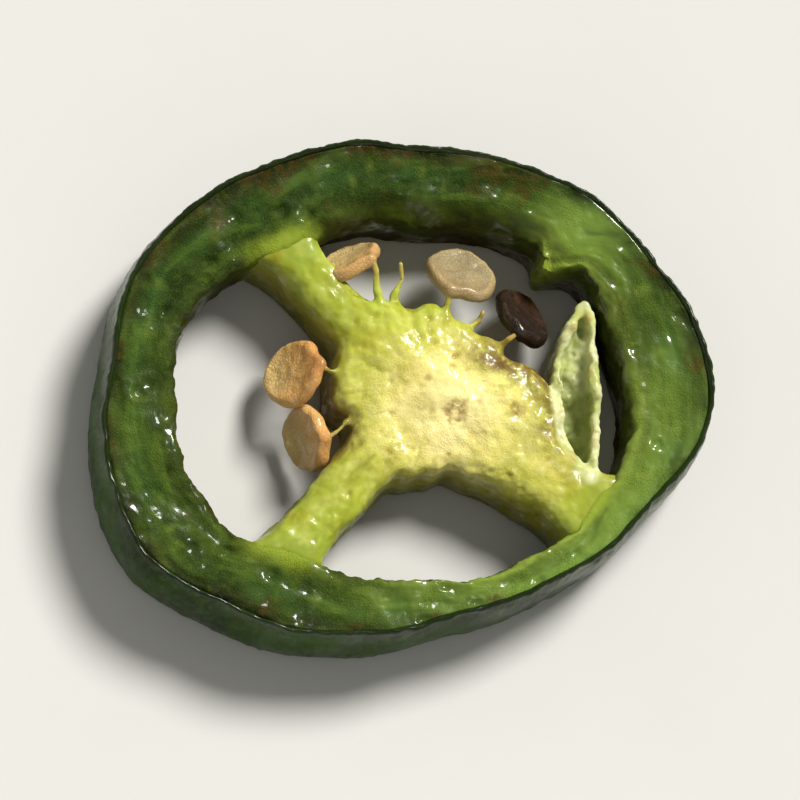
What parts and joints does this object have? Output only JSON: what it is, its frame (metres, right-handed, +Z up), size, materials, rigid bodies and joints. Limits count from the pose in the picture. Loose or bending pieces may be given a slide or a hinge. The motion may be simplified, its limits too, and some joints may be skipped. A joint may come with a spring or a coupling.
{
  "type": "chilli pepper slice",
  "caption": "Oval cross slice of a baked green chilli pepper: a ring of fruit wall round a pale placenta with septa and flat seeds, lying on its cut face.",
  "frame": {"origin": "under the middle of the slice's box, on the plane of the lower cut face", "axes": "+X along the slice's long width, +Y along its short width, +Z up through the cut faces"},
  "size_m": [0.0318, 0.0262, 0.005],
  "materials": {
    "fruit_wall": "moist cooked flesh, mid green, darker under the skin and yellower at the chambers",
    "skin": "glossy, very dark green, finely wrinkled",
    "placenta": "pale yellow-green spongy pith, moist",
    "seed": "golden to brown baked seed coat, satin"
  },
  "bodies": {
    "root": {"fruit_wall": "fruit_wall", "placenta": "placenta"}
  },
  "joints": []
}
